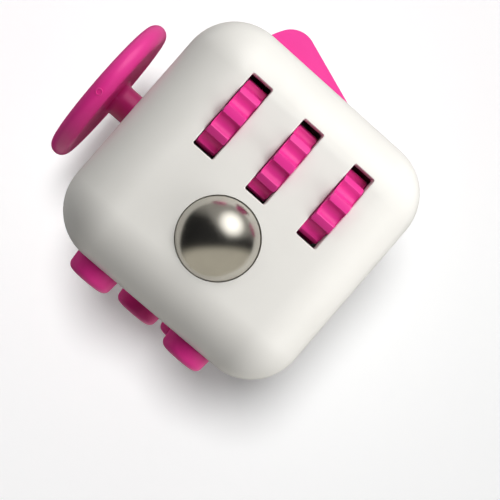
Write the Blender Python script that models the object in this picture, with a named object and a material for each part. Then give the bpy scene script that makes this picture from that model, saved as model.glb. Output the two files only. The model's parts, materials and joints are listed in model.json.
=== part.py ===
"""Fidget cube: a rounded 33 mm cube with a different finger toy on each face.

Sizes are in millimetres, measured from the middle of the cube, and become metres when a mesh
is made.  +Z is the face with three rollers and a ball, -Z the spin dial that the cube stands
on, -X the joystick, +X the worry-stone dish, +Y the rocker switch, -Y the five click buttons.
The world origin lies on the table, under the middle of the whole footprint.
"""
import math

import bmesh
import bpy
from mathutils import Matrix, Vector

MM = 0.001
FIT = 0.3                       # air between two pieces that touch

# Case
SIDE = 33.0
HALF = SIDE / 2
EDGE_RADIUS = 6.6
WALL = 1.6
INNER_HALF = HALF - WALL
INNER_RADIUS = EDGE_RADIUS - WALL
PARTING_Z = 11.2                # where the front shell meets the rear shell
PARTING_GAP = 0.2
FLAT_HALF = HALF - EDGE_RADIUS
DISH_HALF_LENGTH = 9.2
DISH_HALF_WIDTH = 7.4
DISH_DEPTH = 1.9

# Rollers
ROLLER_PITCH = 7.5
ROLLER_Y = 5.97
ROLLER_AXIS_Z = HALF - 3.5
ROLLER_RADIUS = 4.75
ROLLER_WIDTH = 2.65
ROLLER_TEETH = 10
CREST_ANGLE = 12.5              # degrees of the roller's edge that a tooth's crest takes
GROOVE_RADIUS = 1.05
ROLLER_TURNS = (0.6, -3.4, 6.1)     # degrees from +Z towards +Y of one crest of each roller
SLOT_LENGTH = 10.15
SLOT_WIDTH = 2.85
AXLE_RADIUS = 1.0
AXLE_HALF_LENGTH = 11.0
HANGER_X = 9.8

# Ball
BALL_Y = -5.18
BALL_RADIUS = 5.3
BALL_Z = HALF - 2.43
BALL_HOLE_RADIUS = BALL_RADIUS + 0.1
CUP_RADIUS = 5.0
CUP_LOW = 6.2
CUP_HIGH = 10.4
CUP_FLOOR = 7.6
RACE_RADIUS = 4.0
RACE_BORE = 1.8
GUIDE_RADIUS = 6.0
GUIDE_FLOOR = 2.4
GUIDE_CORE = 1.9

# Click buttons
BUTTON_MIDDLE_X = -0.6
BUTTON_SPREAD = 7.1
BUTTON_RADIUS = 3.0
BUTTON_FACE_Y = -HALF - 2.3
BUTTON_STEM_Y = -13.6
FLANGE_RADIUS = 3.45
PLATE_FRONT_Y = -12.2

# Joystick
STICK_PIVOT_X = -12.9
PAD_X = -20.6
PAD_RADIUS = 10.05
PAD_THICKNESS = 2.4
STEM_RADIUS = 2.07
STEM_END_X = -14.6
STICK_HOLE_RADIUS = 3.4
GIMBAL_INNER = 2.3
GIMBAL_OUTER = 3.9
GIMBAL_HALF_WIDTH = 1.05
CROSS_PIN_RADIUS = 0.45
CROSS_HOLE_RADIUS = 0.7

# Rocker switch
ROCKER_PIVOT_Y = 13.0
ROCKER_TILT = 18.3              # degrees either side of level
ROCKER_REACH = 11.1             # from the pivot to the ends, which are arcs about it
ROCKER_HALF_WIDTH = 4.9
ROCKER_TOP = 4.97               # from the pivot to the flat top
ROCKER_END_RADIUS = 3.0
ROCKER_SKIRT_ANGLE = -17.0      # how far round the pivot the ends reach down
ROCKER_SLOT_HALF_LENGTH = 11.45
ROCKER_SLOT_HALF_WIDTH = 5.2

# Spin dial
DIAL_RADIUS = 8.4
DIAL_BACK = HALF + FIT          # from the middle of the cube, downwards
DIAL_FACE = 19.3
DIAL_HUB_RADIUS = 2.2

# Chassis that carries the mechanisms
CHASSIS_LOW = -12.2
CHASSIS_HIGH = -11.2
CHASSIS_HALF = 12.0
CHASSIS_SCREW = 10.5
MECHANISM_FOOT = CHASSIS_HIGH + FIT

# Smoothness
CORNER_STEPS = 5
ROUND_STEPS = 28
SMALL_STEPS = 14
SPRING_STEPS = 9
WIRE_SIDES = 5


def aim(shape, axis):
    """Turn a shape made along +Z so that it points along +X or +Y."""
    turns = {"X": Matrix.Rotation(math.radians(90), 4, "Y"),
             "Y": Matrix.Rotation(math.radians(-90), 4, "X"),
             "Z": Matrix.Identity(4)}
    bmesh.ops.transform(shape, matrix=turns[axis], verts=shape.verts)
    return shape


def shift(shape, offset):
    """Move a shape by an offset."""
    bmesh.ops.translate(shape, vec=Vector(offset), verts=shape.verts)
    return shape


def block(low, high):
    """A plain box between two corners."""
    shape = bmesh.new()
    bmesh.ops.create_cube(shape, size=1.0)
    size = Vector(high) - Vector(low)
    middle = (Vector(high) + Vector(low)) / 2
    bmesh.ops.scale(shape, vec=size, verts=shape.verts)
    return shift(shape, middle)


def rounded_cube(half, radius):
    """A cube with every edge and corner rounded."""
    shape = block((-half,) * 3, (half,) * 3)
    bmesh.ops.bevel(shape, geom=shape.edges[:], offset=radius, segments=CORNER_STEPS,
                    profile=0.5, affect="EDGES", clamp_overlap=False)
    return shape


def prism(outline, low, high, axis="Z"):
    """An outline in the plane across the axis, made solid between two heights."""
    shape = bmesh.new()
    corners = [shape.verts.new((x, y, low)) for x, y in outline]
    face = shape.faces.new(corners)
    extruded = bmesh.ops.extrude_face_region(shape, geom=[face])
    top = [item for item in extruded["geom"] if isinstance(item, bmesh.types.BMVert)]
    bmesh.ops.translate(shape, vec=(0, 0, high - low), verts=top)
    return aim(shape, axis)


def turned(profile, axis="Z", steps=SMALL_STEPS):
    """Spin a profile of (radius, height) points round an axis; a radius of 0 is a pole."""
    shape = bmesh.new()
    rings = []
    for radius, height in profile:
        if radius == 0:
            rings.append([shape.verts.new((0, 0, height))])
            continue
        angles = [2 * math.pi * step / steps for step in range(steps)]
        rings.append([shape.verts.new((radius * math.cos(a), radius * math.sin(a), height))
                      for a in angles])
    pairs = list(zip(rings, rings[1:]))
    if len(rings[0]) > 1 and len(rings[-1]) > 1:
        pairs.append((rings[-1], rings[0]))
    for first, second in pairs:
        for step in range(steps):
            ahead = (step + 1) % steps
            corners = [first[step % len(first)], first[ahead % len(first)],
                       second[ahead % len(second)], second[step % len(second)]]
            corners = list(dict.fromkeys(corners))
            if len(corners) > 2:
                shape.faces.new(corners)
    return aim(shape, axis)


def rod(radius, low, high, axis="Z", steps=SMALL_STEPS):
    """A plain round bar."""
    return turned([(0, low), (radius, low), (radius, high), (0, high)], axis, steps)


def tube(inner, outer, low, high, axis="Z", steps=SMALL_STEPS):
    """A plain round tube."""
    return turned([(inner, low), (outer, low), (outer, high), (inner, high)], axis, steps)


def globe(radius, steps=ROUND_STEPS):
    """A sphere about the origin."""
    shape = bmesh.new()
    bmesh.ops.create_uvsphere(shape, u_segments=steps, v_segments=steps // 2, radius=radius)
    return shape


def coil(radius, wire, low, high, turns, axis="Z"):
    """A compression spring between two heights."""
    shape = bmesh.new()
    steps = int(turns * SPRING_STEPS)
    rings = []
    for step in range(steps + 1):
        angle = 2 * math.pi * step / SPRING_STEPS
        height = low + wire + (high - low - 2 * wire) * step / steps
        outward = Vector((math.cos(angle), math.sin(angle), 0))
        ring = []
        for side in range(WIRE_SIDES):
            around = 2 * math.pi * side / WIRE_SIDES
            point = outward * (radius + wire * math.cos(around))
            point.z = height + wire * math.sin(around)
            ring.append(shape.verts.new(point))
        rings.append(ring)
    for first, second in zip(rings, rings[1:]):
        for side in range(WIRE_SIDES):
            ahead = (side + 1) % WIRE_SIDES
            shape.faces.new((first[side], first[ahead], second[ahead], second[side]))
    shape.faces.new(rings[0])
    shape.faces.new(rings[-1])
    return aim(shape, axis)


def arc(centre_x, centre_y, radius, start, stop, steps):
    """Points along an arc, angles in degrees."""
    points = []
    for step in range(steps + 1):
        angle = math.radians(start + (stop - start) * step / steps)
        points.append((centre_x + radius * math.cos(angle), centre_y + radius * math.sin(angle)))
    return points


def rounded_rectangle(half_x, half_y, radius):
    """The outline of a rectangle with round corners, anticlockwise."""
    points = []
    corners = ((1, 1), (-1, 1), (-1, -1), (1, -1))
    for quarter, (side_x, side_y) in enumerate(corners):
        points += arc(side_x * (half_x - radius), side_y * (half_y - radius), radius,
                      90 * quarter, 90 * (quarter + 1), CORNER_STEPS)
    return points


def plastic(name, colour, roughness):
    """A moulded plastic or rubber."""
    return finish(name, colour, roughness, 0.0)


def finish(name, colour, roughness, metallic):
    """A Principled material."""
    material = bpy.data.materials.new(name)
    material.use_nodes = True
    shader = material.node_tree.nodes["Principled BSDF"]
    shader.inputs["Base Color"].default_value = (*colour, 1.0)
    shader.inputs["Roughness"].default_value = roughness
    shader.inputs["Metallic"].default_value = metallic
    return material


def make(name, shape, material, at=(0, 0, 0)):
    """Turn a shape into an object whose origin is the given point of the cube."""
    bmesh.ops.recalc_face_normals(shape, faces=shape.faces)
    bmesh.ops.scale(shape, vec=(MM, MM, MM), verts=shape.verts)
    mesh = bpy.data.meshes.new(name)
    shape.to_mesh(mesh)
    shape.free()
    mesh.shade_smooth()
    mesh.set_sharp_from_angle(angle=math.radians(35))
    mesh.materials.append(material)
    piece = bpy.data.objects.new(name, mesh)
    bpy.context.collection.objects.link(piece)
    piece.parent = CUBE
    piece.location = Vector(at) * MM
    return piece


def combine(piece, shape, operation, at=(0, 0, 0)):
    """Add a shape to a piece or take it away, through a hidden helper object."""
    number = len(piece.modifiers) + 1
    helper = make(f"{piece.name}_{operation.lower()}_{number}", shape, piece.data.materials[0], at)
    helper.rotation_euler = piece.rotation_euler
    helper.hide_render = True
    helper.display_type = "WIRE"
    boolean = piece.modifiers.new(f"{operation.lower()}_{number}", "BOOLEAN")
    boolean.operation = operation
    boolean.solver = "EXACT"
    boolean.object = helper


def cut(piece, shape, at=(0, 0, 0)):
    combine(piece, shape, "DIFFERENCE", at)


def join(piece, shape, at=(0, 0, 0)):
    combine(piece, shape, "UNION", at)


def button_places():
    """The five buttons as on a die, in the plane of the face: (x, z)."""
    left = BUTTON_MIDDLE_X - BUTTON_SPREAD
    right = BUTTON_MIDDLE_X + BUTTON_SPREAD
    corners = [(x, z) for z in (BUTTON_SPREAD, -BUTTON_SPREAD) for x in (left, right)]
    return corners[:2] + [(BUTTON_MIDDLE_X, 0)] + corners[2:]


def corner_places(reach):
    """Four places on the diagonals: (x, y)."""
    return [(x, y) for x in (-reach, reach) for y in (-reach, reach)]


def build_front_shell(white):
    """The cap with the roller face: slots, ball hole, axle hangers and corner tongues."""
    shell = make("front_shell", rounded_cube(HALF, EDGE_RADIUS), white)
    edge = PARTING_Z + PARTING_GAP / 2
    cut(shell, block((-SIDE, -SIDE, -SIDE), (SIDE, SIDE, edge)))
    cut(shell, rounded_cube(INNER_HALF, INNER_RADIUS))
    for side in (-1, 1):
        near, far = sorted((side * (HANGER_X - 0.6), side * (HANGER_X + 0.6)))
        join(shell, block((near, ROLLER_Y - 1.8, 10.6), (far, ROLLER_Y + 1.8, INNER_HALF + 0.3)))
    tongue_low = PARTING_Z - 1.9
    tongue_high = PARTING_Z + 1.3
    outside = INNER_HALF - 0.25
    thickness = 0.9
    for x, y in corner_places(1):
        tongue = [(x * px, y * py) for px, py in arc(FLAT_HALF, FLAT_HALF, outside - FLAT_HALF, 8, 82, 6)]
        tongue += [(x * px, y * py)
                   for px, py in arc(FLAT_HALF, FLAT_HALF, outside - FLAT_HALF - thickness, 82, 8, 6)]
        join(shell, prism(tongue, tongue_low, tongue_high))
    cut(shell, rod(AXLE_RADIUS + FIT, -AXLE_HALF_LENGTH, AXLE_HALF_LENGTH, "X"),
        (0, ROLLER_Y, ROLLER_AXIS_Z))
    for column in (-1, 0, 1):
        half_width = SLOT_WIDTH / 2
        half_length = SLOT_LENGTH / 2
        middle = column * ROLLER_PITCH
        cut(shell, block((middle - half_width, ROLLER_Y - half_length, 13.0),
                         (middle + half_width, ROLLER_Y + half_length, SIDE)))
    cut(shell, globe(BALL_HOLE_RADIUS), (0, BALL_Y, BALL_Z))


def build_rear_shell(white):
    """The tub: four sides with their openings and the dish, the floor with its screw bosses."""
    shell = make("rear_shell", rounded_cube(HALF, EDGE_RADIUS), white)
    edge = PARTING_Z - PARTING_GAP / 2
    cut(shell, block((-SIDE, -SIDE, edge), (SIDE, SIDE, SIDE)))
    cut(shell, rounded_cube(INNER_HALF, INNER_RADIUS))
    floor = -INNER_HALF
    backing = rod(1, INNER_HALF - 1.6, INNER_HALF + 0.4, "X", ROUND_STEPS)
    bmesh.ops.scale(backing, vec=(1, DISH_HALF_LENGTH, DISH_HALF_WIDTH), verts=backing.verts)
    join(shell, backing)
    for x, y in corner_places(CHASSIS_SCREW):
        join(shell, rod(1.8, floor - 0.5, CHASSIS_LOW - FIT), (x, y, 0))
        cut(shell, rod(0.95, floor + 0.4, 0), (x, y, 0))
    ball_of_dish = (DISH_HALF_WIDTH ** 2 + DISH_DEPTH ** 2) / (2 * DISH_DEPTH)
    dish = globe(ball_of_dish, 44)
    stretch = DISH_HALF_LENGTH / DISH_HALF_WIDTH
    bmesh.ops.scale(dish, vec=(1, stretch, 1), verts=dish.verts)
    cut(shell, dish, (HALF - DISH_DEPTH + ball_of_dish, 0, 0))
    slot = rounded_rectangle(ROCKER_SLOT_HALF_LENGTH, ROCKER_SLOT_HALF_WIDTH, 1.2)
    cut(shell, prism(slot, 12.0, SIDE, "Y"))
    for x, z in button_places():
        cut(shell, rod(BUTTON_RADIUS + 0.25, -SIDE, -12.0, "Y", ROUND_STEPS), (x, 0, z))
    cut(shell, rod(STICK_HOLE_RADIUS, -SIDE, -12.0, "X", ROUND_STEPS))
    cut(shell, rod(DIAL_HUB_RADIUS + 0.4, -SIDE, -12.0, "Z", ROUND_STEPS))


def roller_outline(turn):
    """Round crests and scooped grooves of a roller, in the plane across its axle."""
    pitch = math.radians(360 / ROLLER_TEETH)
    half_groove = (pitch - math.radians(CREST_ANGLE)) / 2
    half_chord = ROLLER_RADIUS * math.sin(half_groove)
    scoop = ROLLER_RADIUS * math.cos(half_groove) + math.sqrt(GROOVE_RADIUS ** 2 - half_chord ** 2)
    edge = math.degrees(math.asin(half_chord / GROOVE_RADIUS))
    groove = arc(scoop, 0, GROOVE_RADIUS, 180 + edge, 180 - edge, 5)
    points = []
    for tooth in range(ROLLER_TEETH):
        middle = math.radians(turn) + (tooth + 0.5) * pitch
        points += [(-x * math.cos(middle) + y * math.sin(middle),
                    x * math.sin(middle) + y * math.cos(middle)) for x, y in groove]
    return points


def build_rollers(pink, steel, white):
    """Three toothed rollers on one axle, held apart by two spacers."""
    half_width = ROLLER_WIDTH / 2
    for number, turn in enumerate(ROLLER_TURNS, start=1):
        at = ((number - 2) * ROLLER_PITCH, ROLLER_Y, ROLLER_AXIS_Z)
        wheel = prism(roller_outline(turn), -half_width, half_width, "X")
        roller = make(f"roller_{number}", wheel, pink, at)
        cut(roller, rod(AXLE_RADIUS + FIT, -2 * half_width, 2 * half_width, "X"), at)
    axle = rod(AXLE_RADIUS, -AXLE_HALF_LENGTH, AXLE_HALF_LENGTH, "X")
    make("roller_axle", axle, steel, (0, ROLLER_Y, ROLLER_AXIS_Z))
    for number in (1, 2):
        middle = (number - 1.5) * ROLLER_PITCH
        half_length = (ROLLER_PITCH - ROLLER_WIDTH) / 2 - FIT
        spacer = tube(AXLE_RADIUS + FIT, AXLE_RADIUS + 0.7, -half_length, half_length, "X")
        make(f"roller_spacer_{number}", spacer, white, (middle, ROLLER_Y, ROLLER_AXIS_Z))


def ball_surface(radius, clearance):
    """Depth below the ball's middle of a sphere a little larger than the ball."""
    return -math.sqrt((BALL_RADIUS + clearance) ** 2 - radius ** 2)


def build_ball(steel, white, grey):
    """The ball rests on a swivelling race in a cup that a spring pushes up its guide."""
    at = (0, BALL_Y, BALL_Z)
    make("ball", globe(BALL_RADIUS), steel, at)
    race_low = CUP_FLOOR + FIT - BALL_Z
    race = [(RACE_BORE, race_low), (RACE_RADIUS, race_low)]
    for radius in (RACE_RADIUS, 3.3, 2.5, RACE_BORE):
        race.append((radius, ball_surface(radius, FIT)))
    make("ball_race", turned(race, steps=20), grey, at)
    cup_wall = RACE_RADIUS + FIT
    cup = [(0, CUP_LOW), (CUP_RADIUS, CUP_LOW), (CUP_RADIUS, CUP_HIGH), (cup_wall, CUP_HIGH),
           (cup_wall, CUP_FLOOR), (0, CUP_FLOOR)]
    make("ball_cup", turned(cup, steps=20), white, (0, BALL_Y, 0))
    guide_wall = CUP_RADIUS + FIT
    guide_top = 9.2
    column = GUIDE_CORE + 1.5
    guide = [(0, GUIDE_FLOOR), (guide_wall, GUIDE_FLOOR), (guide_wall, guide_top),
             (GUIDE_RADIUS, guide_top), (GUIDE_RADIUS, GUIDE_FLOOR - 1.2), (column, GUIDE_FLOOR - 3.0),
             (column, MECHANISM_FOOT + 1.0), (GUIDE_RADIUS, MECHANISM_FOOT + 1.0),
             (GUIDE_RADIUS, MECHANISM_FOOT), (GUIDE_CORE, MECHANISM_FOOT),
             (GUIDE_CORE, GUIDE_FLOOR - 1.2), (0, GUIDE_FLOOR - 1.2)]
    make("ball_guide", turned(guide, steps=24), white, (0, BALL_Y, 0))
    spring = coil(3.6, 0.3, GUIDE_FLOOR + FIT, CUP_LOW - FIT, 3.5)
    make("ball_spring", spring, steel, (0, BALL_Y, 0))


def build_buttons(pink, steel, grey, white):
    """Five click buttons; three press on steel snap domes and two on silicone pads."""
    face = BUTTON_FACE_Y
    cap = [(0, face)] + [(radius, height) for radius, height in (
        (1.4, face + 0.06), (2.35, face + 0.28), (2.84, face + 0.75), (BUTTON_RADIUS, face + 1.4))]
    cap += [(BUTTON_RADIUS, -INNER_HALF + FIT), (FLANGE_RADIUS, -INNER_HALF + FIT),
            (FLANGE_RADIUS, -14.0), (1.2, -14.0), (1.2, BUTTON_STEM_Y), (0, BUTTON_STEM_Y)]
    snap = [(0, -12.85), (1.1, -12.76), (2.0, -12.5), (2.0, -12.38), (1.1, -12.61), (0, -12.7)]
    pad = [(0, -12.85), (1.4, -12.8), (2.3, -12.5), (2.3, -12.38), (1.2, -12.5), (0, -12.55)]
    quiet = (2, 4)
    silent = 0
    clicking = 0
    for number, (x, z) in enumerate(button_places(), start=1):
        make(f"click_button_{number}", turned(cap, "Y", 20), pink, (x, 0, z))
        if number in quiet:
            silent += 1
            make(f"silicone_pad_{silent}", turned(pad, "Y"), grey, (x, 0, z))
        else:
            clicking += 1
            make(f"snap_dome_{clicking}", turned(snap, "Y"), steel, (x, 0, z))
    plate = prism(rounded_rectangle(9.0, 10.2, 1.0), PLATE_FRONT_Y, PLATE_FRONT_Y + 0.7, "Y")
    board = make("button_plate", plate, white, (BUTTON_MIDDLE_X, 0, 0))
    join(board, block((-4.0, PLATE_FRONT_Y + 0.05, MECHANISM_FOOT), (4.0, PLATE_FRONT_Y + 0.65, -10.0)))


def build_joystick(pink, steel, white, grey):
    """The thumb pad on its stem, hung in a gimbal ring in a bracket, centred by a spring."""
    pivot = (STICK_PIVOT_X, 0, 0)
    outer = PAD_X - PAD_THICKNESS / 2 - STICK_PIVOT_X
    rim_radius = PAD_THICKNESS / 2
    rim = arc(PAD_RADIUS - rim_radius, PAD_X - STICK_PIVOT_X, rim_radius, -90, 90, 8)
    stem_end = STEM_END_X - STICK_PIVOT_X
    inner = outer + PAD_THICKNESS
    pad = [(0, outer + 0.8), (3.2, outer + 0.68), (6.0, outer + 0.32)] + rim
    pad += [(STEM_RADIUS + 0.5, inner), (STEM_RADIUS, inner + 0.5), (STEM_RADIUS, stem_end),
            (1.25, stem_end), (1.25, stem_end - 3.2), (0, stem_end - 3.2)]
    make("joystick_pad", turned(pad, "X", ROUND_STEPS), pink, pivot)
    shaft = make("joystick_shaft", rod(0.95, stem_end - 2.9, 1.7, "X"), steel, pivot)
    join(shaft, globe(1.6, 12), pivot)
    join(shaft, rod(CROSS_PIN_RADIUS, -3.7, 3.7, "Y"), pivot)
    ring = tube(GIMBAL_INNER, GIMBAL_OUTER, -GIMBAL_HALF_WIDTH, GIMBAL_HALF_WIDTH, "X", 20)
    ring = make("gimbal_ring", ring, grey, pivot)
    join(ring, rod(CROSS_PIN_RADIUS, GIMBAL_OUTER - 0.5, 5.4), pivot)
    join(ring, rod(CROSS_PIN_RADIUS, -5.4, -GIMBAL_OUTER + 0.5), pivot)
    cut(ring, rod(CROSS_HOLE_RADIUS, -6, 6, "Y"), pivot)
    back = -6.4
    bracket = make("joystick_bracket", block((back - 0.8, -3, MECHANISM_FOOT), (back, 3, 6.4)), white)
    for low, high in ((4.4, 5.6), (-5.6, -4.4)):
        join(bracket, block((-14.0, -1.8, low), (back - 0.1, 1.8, high)))
    cut(bracket, rod(CROSS_HOLE_RADIUS, -6.5, 6.5), pivot)
    spring = coil(1.7, 0.25, -10.7, back - 0.8 - FIT, 3.5, "X")
    make("centring_spring", spring, steel)


def rocker_end():
    """Middle of the round corner between an end of the rocker and its flat top, and its angle."""
    rise = ROCKER_TOP - ROCKER_END_RADIUS
    run = math.sqrt((ROCKER_REACH - ROCKER_END_RADIUS) ** 2 - rise ** 2)
    return run, rise, math.degrees(math.atan2(rise, run))


def rocker_outline():
    """Side of the rocker cap: flat top, round ends, belly with a nose for the detent."""
    run, rise, blend = rocker_end()
    half = [(0.8, -2.7), (1.6, -1.6)] + arc(0, 0, ROCKER_REACH, ROCKER_SKIRT_ANGLE, blend, 5)
    half += arc(run, rise, ROCKER_END_RADIUS, blend, 90, 6)[1:]
    return half + [(-x, y) for x, y in reversed(half)]


def build_rocker(pink, steel, white):
    """The rocker cap on its pin, with a sprung plunger that holds it at either end."""
    pivot = (0, ROCKER_PIVOT_Y, 0)
    half = ROCKER_HALF_WIDTH
    cap = make("rocker_cap", prism(rocker_outline(), -half, half), pink, pivot)
    cap.rotation_euler.z = math.radians(-ROCKER_TILT)
    inside = half - 1.3
    for near, far in ((1.5, 5.0), (6.2, 9.6)):
        for low, high in ((near, far), (-far, -near)):
            cut(cap, block((low, -5, -inside), (high, ROCKER_TOP - 1.3, inside)), pivot)
    cut(cap, rod(1.0, -SIDE, SIDE), pivot)
    make("rocker_pin", rod(0.7, -6.1, 6.1), steel, pivot)
    frame_low = 4.6
    frame = make("rocker_frame", block((-2.2, frame_low, MECHANISM_FOOT), (2.2, frame_low + 1, 6.3)), white)
    for low, high in ((5.3, 6.3), (-6.3, -5.3)):
        join(frame, block((-2.2, frame_low + 0.1, low), (2.2, 14.5, high)))
    cut(frame, rod(1.0, -7, 7), pivot)
    plunger = [(0, 9.95), (0.5, 9.85), (1.0, 9.4), (1.5, 8.9), (1.5, 8.3), (0.75, 8.3),
               (0.75, 6.6), (0, 6.6)]
    make("detent_plunger", turned(plunger, "Y"), steel)
    make("detent_spring", coil(1.2, 0.2, frame_low + 1 + FIT, 7.5, 3.0, "Y"), steel)


def build_dial(pink, steel, grey):
    """The spin dial on its hub, kept on by a washer and a screw from inside."""
    rim = 0.9
    crown = arc(DIAL_RADIUS - rim, rim - DIAL_FACE, rim, 0, -90, 4)
    disc = [(0.9, -14.3), (DIAL_HUB_RADIUS, -14.3), (DIAL_HUB_RADIUS, -DIAL_BACK),
            (DIAL_RADIUS - 0.3, -DIAL_BACK), (DIAL_RADIUS, -DIAL_BACK - 0.3)] + crown
    disc += [(DIAL_RADIUS - 1.8, 0.35 - DIAL_FACE), (0, 0.35 - DIAL_FACE), (0, -18.0), (0.9, -18.0)]
    dial = make("spin_dial", turned(disc, steps=ROUND_STEPS), pink)
    cut(dial, globe(2.6, 20), (0, 4.3, -DIAL_FACE - 1.0))
    make("dial_washer", tube(1.1, 3.6, -14.0, -13.5, steps=20), grey)
    screw = [(0, -12.2), (1.6, -12.2), (1.6, -13.2), (0.6, -13.2), (0.6, -17.6), (0, -17.6)]
    make("dial_screw", turned(screw), steel)


def build_chassis(white, steel):
    """The plate that the mechanisms stand on, and its four screws."""
    plate = make("chassis", prism(rounded_rectangle(CHASSIS_HALF, CHASSIS_HALF, 3.0),
                                  CHASSIS_LOW, CHASSIS_HIGH), white)
    cut(plate, rod(2.2, -SIDE, 0))
    seat = CHASSIS_HIGH + FIT
    screw = [(0, -14.2), (0.65, -14.2), (0.65, seat), (1.5, seat), (1.5, seat + 0.9), (0, seat + 0.9)]
    for number, (x, y) in enumerate(corner_places(CHASSIS_SCREW), start=1):
        cut(plate, rod(0.95, -SIDE, 0), (x, y, 0))
        make(f"chassis_screw_{number}", turned(screw), steel, (x, y, 0))


def cube_centre():
    """Where the cube's middle lies when the whole footprint is centred on the origin."""
    tilt = math.radians(ROCKER_TILT)
    run, rise, _ = rocker_end()
    rocker_high = ROCKER_PIVOT_Y + run * math.sin(tilt) + rise * math.cos(tilt) + ROCKER_END_RADIUS
    pad_low = PAD_X - PAD_THICKNESS / 2
    return Vector((-(pad_low + HALF) / 2, -(BUTTON_FACE_Y + rocker_high) / 2, DIAL_FACE)) * MM


for old in list(bpy.data.objects):
    bpy.data.objects.remove(old)
CUBE = bpy.data.objects.new("cube_centre", None)
bpy.context.collection.objects.link(CUBE)
CUBE.location = cube_centre()

body_white = plastic("white_plastic", (0.86, 0.85, 0.82), 0.35)
accent_pink = plastic("pink_plastic", (0.85, 0.08, 0.36), 0.32)
inner_white = plastic("inner_plastic", (0.70, 0.70, 0.68), 0.5)
silicone = plastic("grey_silicone", (0.35, 0.35, 0.36), 0.7)
polished_steel = finish("polished_steel", (0.62, 0.61, 0.58), 0.12, 1.0)
wire_steel = finish("wire_steel", (0.50, 0.50, 0.50), 0.3, 1.0)

build_front_shell(body_white)
build_rear_shell(body_white)
build_rollers(accent_pink, wire_steel, inner_white)
build_ball(polished_steel, inner_white, silicone)
build_buttons(accent_pink, wire_steel, silicone, inner_white)
build_joystick(accent_pink, wire_steel, inner_white, silicone)
build_rocker(accent_pink, wire_steel, inner_white)
build_dial(accent_pink, wire_steel, silicone)
build_chassis(inner_white, wire_steel)
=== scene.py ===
import json
import math

import bmesh
import bpy
from mathutils import Matrix, Vector


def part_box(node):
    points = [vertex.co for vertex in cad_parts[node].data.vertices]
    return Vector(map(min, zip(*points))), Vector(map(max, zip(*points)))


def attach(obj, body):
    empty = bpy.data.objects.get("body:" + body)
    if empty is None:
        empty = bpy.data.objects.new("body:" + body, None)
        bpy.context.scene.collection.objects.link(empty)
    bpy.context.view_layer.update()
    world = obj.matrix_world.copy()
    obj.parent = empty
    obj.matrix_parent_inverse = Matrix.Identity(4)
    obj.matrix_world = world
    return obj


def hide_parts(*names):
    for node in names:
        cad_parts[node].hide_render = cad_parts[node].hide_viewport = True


# Looks of the fidget cube.  Fine meshes stand for the CAD pieces that show; the mechanisms
# inside stay the CAD's own and get better materials.  Shapes are in millimetres from the middle
# of the cube, along the CAD's axes: +Z rollers and ball, -Z dial, +X dish, -X joystick,
# +Y rocker, -Y buttons.  They become metres when a piece is made.
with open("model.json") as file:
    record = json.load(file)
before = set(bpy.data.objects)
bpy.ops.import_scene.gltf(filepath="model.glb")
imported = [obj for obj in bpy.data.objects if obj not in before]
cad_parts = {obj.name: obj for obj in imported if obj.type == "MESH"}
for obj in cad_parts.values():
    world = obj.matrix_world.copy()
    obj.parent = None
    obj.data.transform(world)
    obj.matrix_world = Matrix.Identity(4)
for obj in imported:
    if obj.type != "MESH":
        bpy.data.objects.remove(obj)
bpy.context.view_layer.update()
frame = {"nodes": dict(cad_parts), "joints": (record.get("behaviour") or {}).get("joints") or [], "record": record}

MM = 0.001
JOINTS = {joint["name"]: joint for joint in frame["joints"]}
REAR_LOW, REAR_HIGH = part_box("rear_shell")
FRONT_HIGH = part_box("front_shell")[1]
CENTRE = Vector(((REAR_LOW.x + REAR_HIGH.x) / 2, (REAR_LOW.y + REAR_HIGH.y) / 2,
                 (REAR_LOW.z + FRONT_HIGH.z) / 2))


def span(node):
    """Lowest and highest corner of a CAD node."""
    low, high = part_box(node)
    return (low - CENTRE) / MM, (high - CENTRE) / MM


def size(node):
    """How far a CAD node reaches along X, Y and Z."""
    low, high = span(node)
    return high - low


def pivot(joint):
    """Where a joint's axis is."""
    return (Vector(JOINTS[joint]["pos_m"]) - CENTRE) / MM


# Case
HALF = (REAR_HIGH.x - REAR_LOW.x) / MM / 2
EDGE_RADIUS = 6.6
FLAT_HALF = HALF - EDGE_RADIUS
WALL = 1.6
INNER_HALF = HALF - WALL
INNER_RADIUS = EDGE_RADIUS - WALL
SEAM_LOW = span("rear_shell")[1].z
SEAM_HIGH = SEAM_LOW + 0.2
SEAM_ROUNDING = 0.12
MOUTH_ROUNDING = 0.16           # on the edge of each opening
SLOT_LENGTH = 10.15
SLOT_CORNER = 0.22
SLOT_GAP = 0.1                  # between a roller and the sides of its slot
BALL_GAP = 0.05
BALL_ROUNDING = 0.07            # on the edge of the ball hole
MOUTH_LIFT = 0.006              # keeps a rounded mouth's rim clear of the surface
DISH_HALF_LENGTH = 9.2
DISH_HALF_WIDTH = 7.4
DISH_DEPTH = 1.9
DISH_LIP = 0.9
DISH_LIP_DROP = 0.28            # how far the lip falls away at its inner edge
DISH_LIP_LIFT = 0.004           # keeps the lip's rim clear of the surface
BACKING_DEPTH = 1.6             # of the wall behind the dish
BACKING_OVERLAP = 0.4
OPENING_DEPTH = 4.5
CUTTER_REACH = 2.0              # how far a cutter stands out of the surface
STICK_HOLE_RADIUS = 3.4
DIAL_HOLE_RADIUS = 2.6
ROCKER_HOLE = (11.45, 5.2, 1.2)     # half length, half width, corner radius
HANGER_INSETS = (1.8, 0.6)      # from the end of the axle to the two sides of a hanger
HANGER_HALF_WIDTH = 1.8
HANGER_LOW = 10.6
TONGUE_GAP = 0.25               # between a tongue and the wall of the other shell
TONGUE_THICKNESS = 0.9
TONGUE_ANGLES = (8, 82)
TONGUE_BELOW = 1.8              # how far a tongue reaches past the seam on each side
TONGUE_ABOVE = 1.2
AXLE_GAP = 0.3                  # round the axle, in the hangers and the rollers
BOSS_RADIUS = 1.8
BOSS_OVERLAP = 0.5
BOSS_GAP = 0.3                  # between a boss and the chassis
SCREW_HOLE_RADIUS = 0.95
SCREW_HOLE_FLOOR = 0.4
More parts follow.
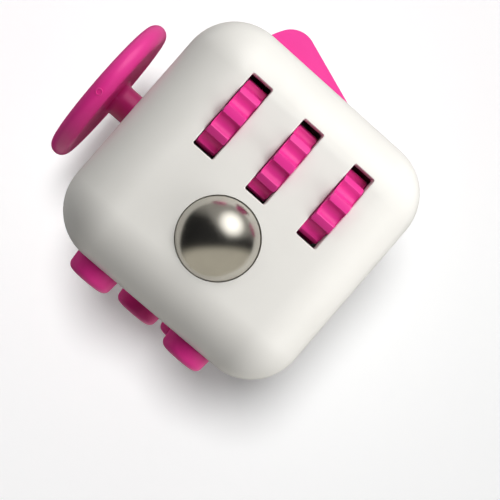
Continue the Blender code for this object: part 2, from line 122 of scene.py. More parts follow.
BUTTON_HOLE_INSET = 0.2         # how much narrower than its flange a button's hole is

# Rollers: ten teeth with scooped grooves between them
ROLLER_RADIUS = 4.75
ROLLER_TEETH = 10
CREST_ANGLE = 12.5
CREST_CORNER = 0.7              # degrees taken off each side of a crest
GROOVE_CORNER = 4.0             # degrees taken off each end of a groove
GROOVE_RADIUS = 1.05
ROLLER_ROUNDING = 0.18
ROLLER_TURNS = (0.6, -3.4, 6.1)     # degrees each roller has been turned by

# Controls
BUTTON_FLANGE = 0.45            # how far a cap's flange stands out inside the case
BUTTON_RIM = 0.85
BUTTON_TAPER = 0.12
BUTTON_GAP = 0.3                # between the flange and the wall above it
BUTTON_BACK = 14.0              # back of the flange, from the middle of the cube
BUTTON_PIN_RADIUS = 1.2
PAD_RIM = 1.2                   # half of the thumb pad's thickness
PAD_HOLLOW = 0.8
PAD_RINGS = (1.5, 3.0, 4.5, 6.0, 7.4)
STEM_RADIUS = 2.07
STEM_BORE_RADIUS = 1.25
STEM_END = 14.6                 # from the middle of the cube
STEM_FILLET = 0.8
GATE_ANGLE = 7.7                # round the pad from its top, towards the buttons
GATE_RADIUS = 0.36
GATE_HALF_WIDTH = 0.09
GATE_HEIGHT = 0.07
ROCKER_REACH = 11.1             # from the pin to the ends, which are arcs about it
ROCKER_TOP = 4.97               # from the pin to the flat top
ROCKER_CORNER = 3.0
ROCKER_SKIRT = -17.0            # degrees round the pin that the ends reach down
ROCKER_TILT = 18.3
ROCKER_NOSE = [(0.8, -2.7), (1.6, -1.6)]
ROCKER_ROUNDING = 0.7
ROCKER_WALL = 1.3
ROCKER_POCKETS = ((1.5, 5.0), (6.2, 9.6))       # from the middle, between the ribs
ROCKER_POCKET_LOW = -5
ROCKER_BORE_RADIUS = 1.0
DIAL_RIM = 0.9
DIAL_HUB_RADIUS = 2.2
DIAL_HOLLOW = 0.35
DIAL_HOLLOW_EDGE = 0.5
DIAL_GAP = 0.3                  # between the dial and the case
DIAL_CHAMFER = 0.3
DIAL_BORE_RADIUS = 0.9          # for the screw
DIAL_BORE_END = 18.0
DIMPLE_RADIUS = 2.6
DIMPLE_PLACE = 4.3              # from the dial's axis
DIMPLE_RISE = 1.0

# Light, in watts; the floor's half width; how strongly the floor and the room glow
KEY_POWER = 0.215
CORNER_POWER = 0.115
RIGHT_POWER = 0.09
LEFT_POWER = 0.038
TABLE_POWER = 2.2
FLOOR_HALF = 1500
FLOOR_GLOW = 0.17
ROOM_FILL = 0.03

# Smoothness
EDGE_STEPS = 14
ROUND_STEPS = 96
ROUNDING_STEPS = 4
INNER_STEPS = 8                 # on the inside of the case
QUARTER_ROUND = (0.4, 0.8, 1.2, math.pi / 2)    # angles along a small quarter round
SOFT_ANGLE = 32.0               # faces that meet at less than this shade as one surface


# ---------------------------------------------------------------- shapes

def facing(shape, direction):
    """Turn a shape made along +Z towards another direction."""
    turn = Vector((0, 0, 1)).rotation_difference(Vector(direction)).to_matrix()
    bmesh.ops.transform(shape, matrix=turn.to_4x4(), verts=shape.verts)
    return shape


def moved(shape, offset):
    """Move a shape by an offset."""
    bmesh.ops.translate(shape, vec=Vector(offset), verts=shape.verts)
    return shape


def tilted(shape, angle, axis):
    """Turn a shape about an axis through the origin, angle in degrees."""
    turn = Matrix.Rotation(math.radians(angle), 4, axis)
    bmesh.ops.transform(shape, matrix=turn, verts=shape.verts)
    return shape


def together(*shapes):
    """Several separate shapes as one."""
    whole = bmesh.new()
    for shape in shapes:
        mesh = bpy.data.meshes.new("part")
        shape.to_mesh(mesh)
        whole.from_mesh(mesh)
        bpy.data.meshes.remove(mesh)
        shape.free()
    return whole


def arc(x, y, radius, start, stop, steps):
    """Points along an arc, angles in degrees."""
    angles = [math.radians(start + (stop - start) * step / steps) for step in range(steps + 1)]
    return [(x + radius * math.cos(angle), y + radius * math.sin(angle)) for angle in angles]


def rounded_rectangle(half_x, half_y, radius):
    """The outline of a rectangle with round corners."""
    points = []
    for quarter, (side_x, side_y) in enumerate(((1, 1), (-1, 1), (-1, -1), (1, -1))):
        points += arc(side_x * (half_x - radius), side_y * (half_y - radius), radius,
                      90 * quarter, 90 * (quarter + 1), 6)
    return points


def block(low, high):
    """A plain box between two corners."""
    shape = bmesh.new()
    bmesh.ops.create_cube(shape, size=1.0)
    low, high = Vector(low), Vector(high)
    bmesh.ops.scale(shape, vec=high - low, verts=shape.verts)
    return moved(shape, (low + high) / 2)


def rounded_cube(half, radius, steps=EDGE_STEPS):
    """A cube with every edge and corner rounded."""
    shape = block((-half,) * 3, (half,) * 3)
    bmesh.ops.bevel(shape, geom=shape.edges[:], offset=radius, segments=steps,
                    profile=0.5, affect="EDGES", clamp_overlap=False)
    return shape


def skinned(rings, closed=False):
    """Join rings of points, each with as many points, or one point for a pole."""
    shape = bmesh.new()
    loops = [[shape.verts.new(point) for point in ring] for ring in rings]
    pairs = list(zip(loops, loops[1:]))
    if closed:
        pairs.append((loops[-1], loops[0]))
    for first, second in pairs:
        for step in range(max(len(first), len(second))):
            ahead = step + 1
            corners = [first[step % len(first)], first[ahead % len(first)],
                       second[ahead % len(second)], second[step % len(second)]]
            corners = list(dict.fromkeys(corners))
            if len(corners) > 2:
                shape.faces.new(corners)
    if not closed:
        for loop in (loops[0], loops[-1]):
            if len(loop) > 2:
                shape.faces.new(loop)
    return shape


def turned(profile, steps=ROUND_STEPS):
    """Spin a profile of (radius, height) points round Z; it closes on itself or on the axis."""
    rings = []
    for radius, height in profile:
        if radius == 0:
            rings.append([(0, 0, height)])
            continue
        angles = [2 * math.pi * step / steps for step in range(steps)]
        rings.append([(radius * math.cos(a), radius * math.sin(a), height) for a in angles])
    return skinned(rings, closed=len(rings[0]) > 1 and len(rings[-1]) > 1)


def rod(radius, low, high, steps=ROUND_STEPS // 2):
    """A plain round bar."""
    return turned([(0, low), (radius, low), (radius, high), (0, high)], steps)


def globe(radius, steps=64):
    """A sphere about the origin."""
    shape = bmesh.new()
    bmesh.ops.create_uvsphere(shape, u_segments=steps, v_segments=steps // 2, radius=radius)
    return shape


def extruded(outline, low, high, rounding=0.0, steps=5):
    """An outline made solid between two heights, with its two rims rounded."""
    shape = skinned([[(x, y, height) for x, y in outline] for height in (low, high)])
    if rounding:
        rims = [edge for edge in shape.edges if abs(edge.verts[0].co.z - edge.verts[1].co.z) < 1e-6]
        bmesh.ops.bevel(shape, geom=rims, offset=rounding, segments=steps, profile=0.5,
                        affect="EDGES", clamp_overlap=False)
    return shape


def surface_height(u, v):
    """Height of the case's surface over a face's middle plane, at a place on that face."""
    beyond_u = max(abs(u) - FLAT_HALF, 0)
    beyond_v = max(abs(v) - FLAT_HALF, 0)
    return FLAT_HALF + math.sqrt(max(EDGE_RADIUS ** 2 - beyond_u ** 2 - beyond_v ** 2, 0))


def opening(outline, direction, depth, rounding=MOUTH_ROUNDING):
    """A cutter through a face of the case; outline(outset) is its outline grown by an outset.

    Its mouth flares out by a quarter round that follows the case's surface.
    """
    rings = [[(u, v, HALF - depth) for u, v in outline(0.0)]]
    for step in range(ROUNDING_STEPS + 1):
        angle = math.pi / 2 * step / ROUNDING_STEPS
        outset = rounding * (1 - math.cos(angle))
        drop = rounding * (1 - math.sin(angle))
        lift = MOUTH_LIFT * step / ROUNDING_STEPS
        rings.append([(u, v, surface_height(u, v) - drop + lift) for u, v in outline(outset)])
    rings.append([(u, v, HALF + CUTTER_REACH) for u, v in outline(rounding)])
    return facing(skinned(rings), direction)


def round_opening(radius, place=(0, 0), **where):
    """A round cutter at a place on a face."""
    x, y = place
    return opening(lambda outset: arc(x, y, radius + outset, 0, 360, 72)[:-1], **where)


def combined(shape, *steps):
    """A shape after joins and cuts: each step is ("UNION" or "DIFFERENCE", other shape)."""
    body = bare_object("work", shape)
    helpers = []
    for operation, other in steps:
        helper = bare_object("helper", other)
        helpers.append(helper)
        boolean = body.modifiers.new(operation, "BOOLEAN")
        boolean.operation = operation
        boolean.solver = "EXACT"
        boolean.object = helper
    settled = body.evaluated_get(bpy.context.evaluated_depsgraph_get())
    result = bmesh.new()
    result.from_mesh(settled.to_mesh())
    for used in [body, *helpers]:
        mesh = used.data
        bpy.data.objects.remove(used)
        bpy.data.meshes.remove(mesh)
    return result


def bare_object(name, shape):
    """A shape as an object with nothing else set."""
    bmesh.ops.recalc_face_normals(shape, faces=shape.faces)
    mesh = bpy.data.meshes.new(name)
    shape.to_mesh(mesh)
    shape.free()
    thing = bpy.data.objects.new(name, mesh)
    bpy.context.scene.collection.objects.link(thing)
    return thing


def make(name, shape, material, body, replaces=(), at=(0, 0, 0)):
    """Turn a shape into a finished piece whose origin is the given place of the cube."""
    bmesh.ops.dissolve_degenerate(shape, dist=1e-5, edges=shape.edges)
    bmesh.ops.scale(shape, vec=(MM, MM, MM), verts=shape.verts)
    piece = bare_object(name, shape)
    piece.data.shade_smooth()
    piece.data.set_sharp_from_angle(angle=math.radians(SOFT_ANGLE))
    piece.data.materials.append(material)
    piece.location = CENTRE + Vector(at) * MM
    weighting = piece.modifiers.new("even_shading", "WEIGHTED_NORMAL")
    weighting.keep_sharp = True
    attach(piece, body)
    if replaces:
        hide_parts(*replaces)
    return piece


# ---------------------------------------------------------------- materials

def new_material(name, metallic=0.0):
    """An empty Principled material: its node tree and its shader."""
    material = bpy.data.materials.new(name)
    material.use_nodes = True
    shader = material.node_tree.nodes["Principled BSDF"]
    shader.inputs["Metallic"].default_value = metallic
    return material, material.node_tree, shader


def add(tree, kind, inputs=None, **settings):
    """Add a shader node; an input is a value or another node's output."""
    made = tree.nodes.new("ShaderNode" + kind)
    for key, value in settings.items():
        setattr(made, key, value)
    for key, value in (inputs or {}).items():
        if isinstance(value, bpy.types.NodeSocket):
            tree.links.new(value, made.inputs[key])
        else:
            made.inputs[key].default_value = value
    return made


def noise(tree, grain, detail=2.0, stretch=(1, 1, 1)):
    """Noise with a grain of so many millimetres, in the piece's own coordinates."""
    place = add(tree, "TexCoord").outputs["Object"]
    if stretch != (1, 1, 1):
        place = add(tree, "Mapping", {"Vector": place, "Scale": stretch}).outputs["Vector"]
    made = add(tree, "TexNoise", {"Vector": place, "Scale": 1 / (grain * MM), "Detail": detail})
    return made.outputs["Fac"]


def remap(tree, value, low, high, start=0.35, stop=0.65):
    """A value between start and stop, spread between low and high."""
    made = add(tree, "MapRange", {"Value": value, "From Min": start, "From Max": stop,
                                  "To Min": low, "To Max": high})
    return made.outputs["Result"]


def mixed(tree, share, first, second):
    """Two colours mixed by a share; each is a colour or another node's output."""
    made = add(tree, "Mix", data_type="RGBA")
    tree.links.new(share, made.inputs["Factor"])
    for socket, colour in ((made.inputs[6], first), (made.inputs[7], second)):
        if isinstance(colour, bpy.types.NodeSocket):
            tree.links.new(colour, socket)
        else:
            socket.default_value = (*colour, 1.0)
    return made.outputs[2]


def bump(tree, shader, *layers):
    """Stack bumps on a shader; each layer is (height, depth in mm)."""
    normal = None
    for height, depth in layers:
        inputs = {"Height": height, "Distance": depth * MM, "Strength": 1.0}
        if normal:
            inputs["Normal"] = normal
        normal = add(tree, "Bump", inputs).outputs["Normal"]
    tree.links.new(normal, shader.inputs["Normal"])


def moulded(name, colour, shade, worn, roughness, grain, depth, specular=0.5):
    """Moulded plastic: slow colour drift, fine spark grain, handled patches and rubbed edges."""
    material, tree, shader = new_material(name)
    shader.inputs["Specular IOR Level"].default_value = specular
    drift = remap(tree, noise(tree, 9.0, 3.0), 0.0, 1.0)
    edge = add(tree, "NewGeometry").outputs["Pointiness"]
    rubbed = remap(tree, edge, 0.0, 0.5, 0.53, 0.62)
    body = mixed(tree, drift, colour, shade)
    tree.links.new(mixed(tree, rubbed, body, worn), shader.inputs["Base Color"])
    handled = noise(tree, 2.2, 4.0)
    low, high = roughness
    tree.links.new(remap(tree, handled, low, high), shader.inputs["Roughness"])
    bump(tree, shader, (noise(tree, 6.0, 1.0), depth * 2), (noise(tree, grain, 3.0), depth))
    return material


def metal(name, colour, shade, roughness, grain, depth, stretch):
    """Metal with fine drawn or polished scratches along one way and slight stains."""
    material, tree, shader = new_material(name, metallic=1.0)
    stain = remap(tree, noise(tree, 3.0, 4.0), 0.0, 1.0)
    tree.links.new(mixed(tree, stain, colour, shade), shader.inputs["Base Color"])
    scratch = noise(tree, grain, 3.0, stretch)
    low, high = roughness
    tree.links.new(remap(tree, scratch, low, high), shader.inputs["Roughness"])
    bump(tree, shader, (scratch, depth))
    return material


def rubber(name, colour, shade):
    """Silicone: matt with a faint sheen, dusty in patches."""
    material, tree, shader = new_material(name)
    shader.inputs["Sheen Weight"].default_value = 0.25
    shader.inputs["Sheen Roughness"].default_value = 0.5
    dust = remap(tree, noise(tree, 1.2, 4.0), 0.0, 1.0)
    tree.links.new(mixed(tree, dust, colour, shade), shader.inputs["Base Color"])
    tree.links.new(remap(tree, noise(tree, 0.4, 3.0), 0.55, 0.75), shader.inputs["Roughness"])
    bump(tree, shader, (noise(tree, 0.15, 3.0), 0.004))
    return material


WHITE = moulded("satin_white", (0.80, 0.783, 0.74), (0.77, 0.753, 0.71), (0.84, 0.83, 0.80),
                (0.30, 0.40), 0.18, 0.0015)
PINK = moulded("hot_pink", (0.79, 0.040, 0.295), (0.75, 0.033, 0.268), (0.86, 0.11, 0.40),
               (0.285, 0.34), 0.22, 0.0005, specular=0.4)
NATURAL = moulded("natural_plastic", (0.62, 0.61, 0.57), (0.55, 0.54, 0.50), (0.70, 0.69, 0.66),
                  (0.42, 0.55), 0.12, 0.003)
GREY = moulded("grey_acetal", (0.16, 0.16, 0.17), (0.13, 0.13, 0.14), (0.24, 0.24, 0.25),
               (0.35, 0.48), 0.12, 0.002)
BALL_STEEL = metal("ball_steel", (0.60, 0.58, 0.53), (0.56, 0.54, 0.495), (0.22, 0.255),
                   0.12, 0.0001, (1, 1, 1))
WIRE = metal("wire_steel", (0.56, 0.56, 0.57), (0.45, 0.45, 0.46), (0.18, 0.26), 0.05, 0.001,
             (0.2, 1, 1))
SILICONE = rubber("grey_silicone", (0.30, 0.30, 0.31), (0.38, 0.38, 0.39))
FINISHES = {"case_plastic": WHITE, "inner_plastic": NATURAL, "accent_plastic": PINK,
            "ball_steel": BALL_STEEL, "metal_parts": WIRE, "grey_plastic": GREY,
            "silicone": SILICONE}


# ---------------------------------------------------------------- case

def soften_seam(shape, height):
    """Round the case's outer edge where the two shells meet."""
    middle_of_wall = EDGE_RADIUS - WALL / 2
    rim = []
    for edge in shape.edges:
        places = [vert.co for vert in edge.verts]
        level = all(abs(place.z - height) < 1e-4 for place in places)
        outside = all(math.hypot(max(abs(place.x) - FLAT_HALF, 0), max(abs(place.y) - FLAT_HALF, 0))
                      > middle_of_wall for place in places)
        if level and outside:
            rim.append(edge)
    bmesh.ops.bevel(shape, geom=rim, offset=SEAM_ROUNDING, segments=3, profile=0.5,
                    affect="EDGES", clamp_overlap=False)
    return shape


def build_case_front():
    """The cap: three slots, the ball hole, hangers for the axle and four tongues."""
    axle = size("roller_axle") / 2
    roller = pivot("roller_2_spin")
    ball = pivot("ball_roll")
    ball_hole = size("ball").x / 2 + BALL_GAP
    hangers = []
    for side in (-1, 1):
        near, far = sorted(side * (axle.x - inset) for inset in HANGER_INSETS)
        hangers.append(block((near, roller.y - HANGER_HALF_WIDTH, HANGER_LOW),
                             (far, roller.y + HANGER_HALF_WIDTH, INNER_HALF + 0.3)))
    tongues = []
    reach = INNER_RADIUS - TONGUE_GAP
    start, stop = TONGUE_ANGLES
    for x in (-1, 1):
        for y in (-1, 1):
            curve = arc(FLAT_HALF, FLAT_HALF, reach, start, stop, 16)
            curve += arc(FLAT_HALF, FLAT_HALF, reach - TONGUE_THICKNESS, stop, start, 16)
            outline = [(x * px, y * py) for px, py in curve]
            tongues.append(extruded(outline, SEAM_LOW - TONGUE_BELOW, SEAM_HIGH + TONGUE_ABOVE))
    half_width = size("roller_2").x / 2 + SLOT_GAP
    mouths = []
    for number in (1, 2, 3):
        middle = pivot(f"roller_{number}_spin")

        def slot(outset, middle=middle):
            outline = rounded_rectangle(half_width + outset, SLOT_LENGTH / 2 + outset,
                                        SLOT_CORNER + outset)
            return [(middle.x + x, middle.y + y) for x, y in outline]

        mouths.append(opening(slot, (0, 0, 1), WALL + 2))
    rise = HALF - BALL_ROUNDING - ball.z
    mouth_radius = math.sqrt(ball_hole ** 2 - rise ** 2)
    low_angle, high_angle = -90, math.degrees(math.asin(rise / ball_hole))
    hole = [(0, ball.z - ball_hole)]
    hole += [(r, ball.z + h) for r, h in arc(0, 0, ball_hole, low_angle, high_angle, 24)[1:]]
    hole += [(mouth_radius + BALL_ROUNDING * (1 - math.cos(a)),
              HALF - BALL_ROUNDING * (1 - math.sin(a)) + MOUTH_LIFT * a)
             for a in QUARTER_ROUND]
    hole += [(mouth_radius + BALL_ROUNDING, HALF + CUTTER_REACH), (0, HALF + CUTTER_REACH)]
    ball_cut = moved(turned(hole), (0, ball.y, 0))
    bore = facing(rod(axle.y + AXLE_GAP, -axle.x, axle.x), (1, 0, 0))
    bore = moved(bore, (0, roller.y, roller.z))
    shell = combined(
        rounded_cube(HALF, EDGE_RADIUS),
        ("DIFFERENCE", block((-2 * HALF,) * 3, (2 * HALF, 2 * HALF, SEAM_HIGH))),
        ("DIFFERENCE", rounded_cube(INNER_HALF, INNER_RADIUS, INNER_STEPS)),
        ("UNION", together(*hangers, *tongues)),
        ("DIFFERENCE", bore),
        ("DIFFERENCE", together(*mouths, ball_cut)))
    make("case_front", soften_seam(shell, SEAM_HIGH), WHITE, "case",
         ["front_shell"])


def dish_cutter():
    """The worry-stone hollow: an oval bowl with a soft lip."""
    bowl = DISH_HALF_WIDTH - DISH_LIP
    radius = (bowl ** 2 + DISH_DEPTH ** 2) / (2 * DISH_DEPTH)
    widest = math.degrees(math.asin(bowl / radius))
    profile = [(0, HALF - DISH_DEPTH)]
    profile += [(r, HALF - DISH_DEPTH + radius + h)
                for r, h in arc(0, 0, radius, -90, -90 + widest, 16)[1:-1]]
    profile += [(bowl + DISH_LIP * math.sin(a),
                 HALF - DISH_LIP_DROP * (1 - math.sin(a)) + DISH_LIP_LIFT * a)
                for a in (0.0, *QUARTER_ROUND)]
    profile += [(DISH_HALF_WIDTH, HALF + CUTTER_REACH), (0, HALF + CUTTER_REACH)]
    shape = turned(profile)
    bmesh.ops.scale(shape, vec=(1, DISH_HALF_LENGTH / DISH_HALF_WIDTH, 1), verts=shape.verts)
    return facing(shape, (1, 0, 0))


def build_case_rear():
    """The tub: openings for joystick, dial, rocker and buttons, screw bosses and the dish."""
    floor = -INNER_HALF
    backing = facing(rod(1, INNER_HALF - BACKING_DEPTH, INNER_HALF + BACKING_OVERLAP, ROUND_STEPS),
                     (1, 0, 0))
    bmesh.ops.scale(backing, vec=(1, DISH_HALF_LENGTH, DISH_HALF_WIDTH), verts=backing.verts)
    screw = span("chassis_screw_4")
    reach = (screw[0].x + screw[1].x) / 2
    boss_top = span("chassis")[0].z - BOSS_GAP
    corners = [(x * reach, y * reach) for x in (-1, 1) for y in (-1, 1)]
    bosses = [moved(rod(BOSS_RADIUS, floor - BOSS_OVERLAP, boss_top), (x, y, 0))
              for x, y in corners]
    bores = [moved(rod(SCREW_HOLE_RADIUS, floor + SCREW_HOLE_FLOOR, 0), (x, y, 0))
             for x, y in corners]
    button_hole = size("click_button_3").x / 2 - BUTTON_HOLE_INSET
    holes = []
    for number in range(1, 6):
        low, high = span(f"click_button_{number}")
        place = ((low.x + high.x) / 2, (low.z + high.z) / 2)
        holes.append(round_opening(button_hole, place, direction=(0, -1, 0), depth=OPENING_DEPTH))
    holes.append(round_opening(STICK_HOLE_RADIUS, direction=(-1, 0, 0), depth=OPENING_DEPTH))
    holes.append(round_opening(DIAL_HOLE_RADIUS, direction=(0, 0, -1), depth=OPENING_DEPTH))
    holes.append(opening(lambda outset: rounded_rectangle(*(part + outset for part in ROCKER_HOLE)),
                         (0, 1, 0), OPENING_DEPTH))
    shell = combined(
        rounded_cube(HALF, EDGE_RADIUS),
        ("DIFFERENCE", block((-2 * HALF, -2 * HALF, SEAM_LOW), (2 * HALF,) * 3)),
        ("DIFFERENCE", rounded_cube(INNER_HALF, INNER_RADIUS, INNER_STEPS)),
        ("UNION", together(backing, *bosses)),
        ("DIFFERENCE", together(*bores, *holes)),
        ("DIFFERENCE", dish_cutter()))
    make("case_rear", soften_seam(shell, SEAM_LOW), WHITE, "case", ["rear_shell"])


# ---------------------------------------------------------------- rollers and ball

def spun(points, angle):
    """Points turned about the origin, angle in degrees."""
    turn = math.radians(angle)
    return [(x * math.cos(turn) - y * math.sin(turn), x * math.sin(turn) + y * math.cos(turn))
            for x, y in points]


def roller_outline(turn):
    """Crests and scooped grooves in the plane across the axle, with a crest at turn degrees."""
    pitch = 360 / ROLLER_TEETH
    half_groove = math.radians((pitch - CREST_ANGLE) / 2)
    half_chord = ROLLER_RADIUS * math.sin(half_groove)
    scoop = ROLLER_RADIUS * math.cos(half_groove) + math.sqrt(GROOVE_RADIUS ** 2 - half_chord ** 2)
    edge = math.degrees(math.asin(half_chord / GROOVE_RADIUS)) - GROOVE_CORNER
    half_crest = CREST_ANGLE / 2 - CREST_CORNER
    crest = arc(0, 0, ROLLER_RADIUS, -half_crest, half_crest, 4)
    groove = spun(arc(scoop, 0, GROOVE_RADIUS, 180 + edge, 180 - edge, 12), pitch / 2)
    points = []
    for tooth in range(ROLLER_TEETH):
        points += [(-x, y) for x, y in spun(crest + groove, turn + tooth * pitch)]
    return points


def build_rollers():
    """Three scalloped wheels, each standing at its own angle."""
    bore = size("roller_axle").y / 2 + AXLE_GAP
    for number, turn in enumerate(ROLLER_TURNS, start=1):
        width = size(f"roller_{number}").x
        wheel = extruded(roller_outline(turn), -width / 2, width / 2, ROLLER_ROUNDING, 4)
        wheel = combined(wheel, ("DIFFERENCE", rod(bore, -width, width)))
        make(f"roller_wheel_{number}", facing(wheel, (1, 0, 0)), PINK, f"roller_{number}",
             [f"roller_{number}"], pivot(f"roller_{number}_spin"))


def build_ball():
    """The polished ball."""
    ball = globe(size("ball").x / 2, ROUND_STEPS)
    make("steel_ball", ball, BALL_STEEL, "ball", ["ball"], pivot("ball_roll"))


# ---------------------------------------------------------------- controls

def build_buttons():
    """Five slightly tapered caps with a flat face and a soft rim."""
    for number in range(1, 6):
        low, high = span(f"click_button_{number}")
        flange = (high.x - low.x) / 2
        radius = flange - BUTTON_FLANGE
        face = -low.y
        cap = [(0, face)]
        cap += arc(radius - BUTTON_TAPER - BUTTON_RIM, face - BUTTON_RIM, BUTTON_RIM, 90, 0, 10)
        under = INNER_HALF - BUTTON_GAP
        cap += [(radius, HALF), (radius, under), (flange, under), (flange, BUTTON_BACK),
                (BUTTON_PIN_RADIUS, BUTTON_BACK), (BUTTON_PIN_RADIUS, -high.y), (0, -high.y)]
        middle = ((low.x + high.x) / 2, 0, (low.z + high.z) / 2)
        shape = facing(turned(cap, 64), (0, -1, 0))
        make(f"button_cap_{number}", shape, PINK, f"button_{number}",
             [f"click_button_{number}"], middle)


def build_joystick():
    """The dished thumb pad on its stem, with the small ring that the mould's gate left."""
    at = pivot("joystick_sideways")
    low, high = span("joystick_pad")
    radius = (high.y - low.y) / 2
    outer = at.x - low.x
    inner = outer - 2 * PAD_RIM
    flat = radius - PAD_RIM
    end = at.x + STEM_END
    pad = [(0, outer - PAD_HOLLOW)]
    pad += [(r, outer - PAD_HOLLOW * math.cos(math.pi / 2 * r / flat) ** 2)
            for r in PAD_RINGS]
    pad += arc(flat, outer - PAD_RIM, PAD_RIM, 90, -90, 20)
    pad += [(STEM_RADIUS + STEM_FILLET * (1 - math.sin(a)),
             inner - STEM_FILLET * (1 - math.cos(a)))
            for a in (0.3, 0.6, 0.9, 1.2, math.pi / 2)]
    pad += [(STEM_RADIUS, end), (STEM_BORE_RADIUS, end), (STEM_BORE_RADIUS, at.x - high.x),
            (0, at.x - high.x)]
    shape = facing(turned(pad), (-1, 0, 0))
    make("thumb_pad", shape, PINK, "joystick", ["joystick_pad"], at)
    mark = turned([(GATE_RADIUS + GATE_HALF_WIDTH * math.cos(a), radius + GATE_HEIGHT * math.sin(a))
                   for a in (math.pi / 4 * step for step in range(8))], 24)
    mark = tilted(moved(mark, (low.x + PAD_RIM - at.x, 0, 0)), GATE_ANGLE, "X")
    make("gate_mark", mark, PINK, "joystick", (), at)


def rocker_outline():
    """Side of the rocker: flat top, round ends that are arcs about the pin, and the detent nose."""
    rise = ROCKER_TOP - ROCKER_CORNER
    run = math.sqrt((ROCKER_REACH - ROCKER_CORNER) ** 2 - rise ** 2)
    blend = math.degrees(math.atan2(rise, run))
    half = ROCKER_NOSE + arc(0, 0, ROCKER_REACH, ROCKER_SKIRT, blend, 14)
    half += arc(run, rise, ROCKER_CORNER, blend, 90, 16)[1:]
    return half + [(-x, y) for x, y in reversed(half)]


def build_rocker():
    """The two-way switch with soft edges, ribbed underneath."""
    at = pivot("rocker_flip")
    low, high = span("rocker_cap")
    half = (high.z - low.z) / 2
    cap = extruded(rocker_outline(), -half, half, ROCKER_ROUNDING, 6)
    pockets = []
    for near, far in ROCKER_POCKETS:
        for left, right in ((near, far), (-far, -near)):
            pockets.append(block((left, ROCKER_POCKET_LOW, ROCKER_WALL - half),
                                 (right, ROCKER_TOP - ROCKER_WALL, half - ROCKER_WALL)))
    bore = rod(ROCKER_BORE_RADIUS, -2 * half, 2 * half)
    cap = combined(cap, ("DIFFERENCE", together(*pockets)), ("DIFFERENCE", bore))
    cap = tilted(cap, -ROCKER_TILT, "Z")
    make("rocker_switch", cap, PINK, "rocker", ["rocker_cap"], at)


def build_dial():
    """The spin dial with its finger dimple."""
    at = pivot("dial_spin")
    low, high = span("spin_dial")
    radius = (high.y - low.y) / 2
    face = at.z - low.z
    back = at.z + HALF + DIAL_GAP
    hub_end = at.z - high.z
    bore_end = at.z + DIAL_BORE_END
    flat = radius - DIAL_RIM
    disc = [(DIAL_BORE_RADIUS, hub_end), (DIAL_HUB_RADIUS, hub_end), (DIAL_HUB_RADIUS, back),
            (radius - DIAL_CHAMFER, back), (radius, back + DIAL_CHAMFER)]
    disc += arc(flat, face - DIAL_RIM, DIAL_RIM, 0, 90, 8)
    disc += [(flat - DIAL_HOLLOW_EDGE - DIAL_HOLLOW_EDGE * math.sin(a),
              face - DIAL_HOLLOW * (1 - math.cos(a)))
             for a in (0.0, 0.5, 1.0, math.pi / 2)]
    disc += [(0, face - DIAL_HOLLOW), (0, bore_end), (DIAL_BORE_RADIUS, bore_end)]
    dimple = moved(globe(DIMPLE_RADIUS), (0, DIMPLE_PLACE, face + DIMPLE_RISE))
    shape = combined(turned(disc), ("DIFFERENCE", dimple))
    make("dial", facing(shape, (0, 0, -1)), PINK, "dial", ["spin_dial"], at)


def dress_cad_nodes():
    """Give each CAD node that still shows the finish of its slot in the record."""
    slots = {part["node"]: part["material_slot"] for part in frame["record"]["subparts"]}
    for name, node in frame["nodes"].items():
        node.data.materials.clear()
        node.data.materials.append(FINISHES[slots[name]])


# ---------------------------------------------------------------- studio

VIEW_RIGHT = Vector((0.750, 0.654, 0.100))      # the main view's axes, in the cube's frame, along which the painted reflections are laid out
VIEW_UP = Vector((-0.652, 0.756, -0.055))
PAINTED_HIGHLIGHT_WAY = Vector((0.041, 0.778, 0.625))          # where the painted highlight of the key light stands


def build_floor():
    """A wide pale table top."""
    shape = bmesh.new()
    bmesh.ops.create_grid(shape, x_segments=1, y_segments=1, size=FLOOR_HALF)
    bmesh.ops.scale(shape, vec=(MM, MM, MM), verts=shape.verts)
    floor = bare_object("floor", shape)
    material, _, shader = new_material("pale_floor")
    shader.inputs["Base Color"].default_value = (0.92, 0.92, 0.92, 1.0)
    shader.inputs["Roughness"].default_value = 0.8
    shader.inputs["Specular IOR Level"].default_value = 0.0
    shader.inputs["Emission Color"].default_value = (1.0, 1.0, 1.0, 1.0)
    shader.inputs["Emission Strength"].default_value = FLOOR_GLOW
    floor.data.materials.append(material)
    floor.visible_glossy = False
    return floor


def linked(name, floor, state):
    """A group that keeps a light on the floor alone, or off it."""
    group = bpy.data.collections.new(name)
    group.objects.link(floor)
    group.collection_objects[0].light_linking.link_state = state
    return group


def softbox(name, azimuth, elevation, distance, width, power, group):
    """A round soft light seen from the cube at two angles, so many millimetres away.

    Polished parts mirror the room's painted reflections and painted highlight, and not the lights.
    """
    light = bpy.data.lights.new(name, "AREA")
    light.shape = "DISK"
    light.size = width * MM
    light.energy = power
    lamp = bpy.data.objects.new(name, light)
    turn, rise = math.radians(azimuth), math.radians(elevation)
    direction = Vector((math.cos(turn) * math.cos(rise), math.sin(turn) * math.cos(rise),
                        math.sin(rise)))
    lamp.location = CENTRE + direction * distance * MM
    lamp.rotation_euler = direction.to_track_quat("Z", "Y").to_euler()
    lamp.light_linking.receiver_collection = group
    lamp.visible_glossy = False
    bpy.context.scene.collection.objects.link(lamp)


def build_lights(floor):
    """Key from the rocker's side, fills from the dish's and joystick's sides, one table light."""
    cube_only = linked("lights_the_cube", floor, "EXCLUDE")
    floor_only = linked("lights_the_floor", floor, "INCLUDE")
    softbox("key_light", 92, 40, 170, 180, KEY_POWER, cube_only)
    softbox("corner_light", 30, 58, 170, 90, CORNER_POWER, cube_only)
    softbox("right_light", 0, 26, 160, 90, RIGHT_POWER, cube_only)
    softbox("left_light", 175, 35, 170, 90, LEFT_POWER, cube_only)
    softbox("table_light", 138, 74, 500, 160, TABLE_POWER, floor_only)


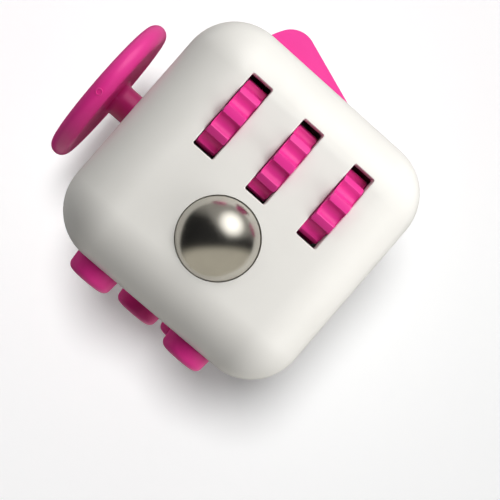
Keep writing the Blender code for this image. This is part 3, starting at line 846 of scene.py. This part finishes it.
def build_painted_room():
    """Painted reflections for polished parts, seen only by glossy rays: pale below in the view, dark in the
    middle, grey above it.

    A painted soft highlight stands in it where the key light would be mirrored.  Rays that only look at the room
    see it white.
    """
    world = bpy.data.worlds.new("room")
    world.use_nodes = True
    tree = world.node_tree
    direction = add(tree, "TexCoord").outputs["Generated"]
    up, right, toward_highlight = (
        add(tree, "VectorMath", {0: direction, 1: way}, operation="DOT_PRODUCT").outputs["Value"]
        for way in (VIEW_UP, VIEW_RIGHT, PAINTED_HIGHLIGHT_WAY))
    # painted reflection: beige below in the main view, black in the middle, grey above; ceiling is the painted
    # edge between black and grey
    low = remap(tree, up, 1.0, 0.0, -0.52, -0.30)
    ceiling = remap(tree, right, 0.70, -0.10, -0.30, 0.45)
    above = add(tree, "Math", {0: up, 1: ceiling}, operation="SUBTRACT").outputs["Value"]
    high = remap(tree, above, 0.0, 1.0, 0.0, 0.28)
    # painted highlight: a soft bright patch where the key light would be mirrored, seen only by glossy rays
    glare = remap(tree, toward_highlight, 0.0, 1.0, 0.84, 0.99)
    mirrored = mixed(tree, high, (0.0, 0.0, 0.0), (0.34, 0.33, 0.31))
    mirrored = mixed(tree, low, mirrored, (0.56, 0.53, 0.45))
    mirrored = mixed(tree, glare, mirrored, (2.4, 2.37, 2.3))
    ray = add(tree, "LightPath")
    unlit = mixed(tree, ray.outputs["Is Diffuse Ray"], (1.0, 1.0, 1.0), (ROOM_FILL,) * 3)
    seen = mixed(tree, ray.outputs["Is Glossy Ray"], unlit, mirrored)
    tree.links.new(seen, tree.nodes["Background"].inputs["Color"])
    bpy.context.scene.world = world
    bpy.context.scene.view_settings.view_transform = "Standard"


def build_camera():
    """Looks down on the roller face, turned so that the cube stands on a corner in the view."""
    eye = Vector((-10.06, -6.73, 136.44))
    target = Vector((5.34, -3.42, 0))
    turn = math.radians(40.75)
    camera = bpy.data.cameras.new("camera")
    camera.sensor_width = 36.0
    camera.lens = 79.24
    camera.clip_start = 0.01
    view = bpy.data.objects.new("camera", camera)
    back = (eye - target).normalized()
    across = Vector((math.cos(turn), math.sin(turn), 0))
    right = (across - back * across.dot(back)).normalized()
    up = back.cross(right)
    view.matrix_world = Matrix((right, up, back)).transposed().to_4x4()
    view.location = CENTRE + eye * MM
    bpy.context.scene.collection.objects.link(view)
    bpy.context.scene.camera = view


build_case_front()
build_case_rear()
build_rollers()
build_ball()
build_buttons()
build_joystick()
build_rocker()
build_dial()
dress_cad_nodes()
build_lights(build_floor())
build_painted_room()
build_camera()
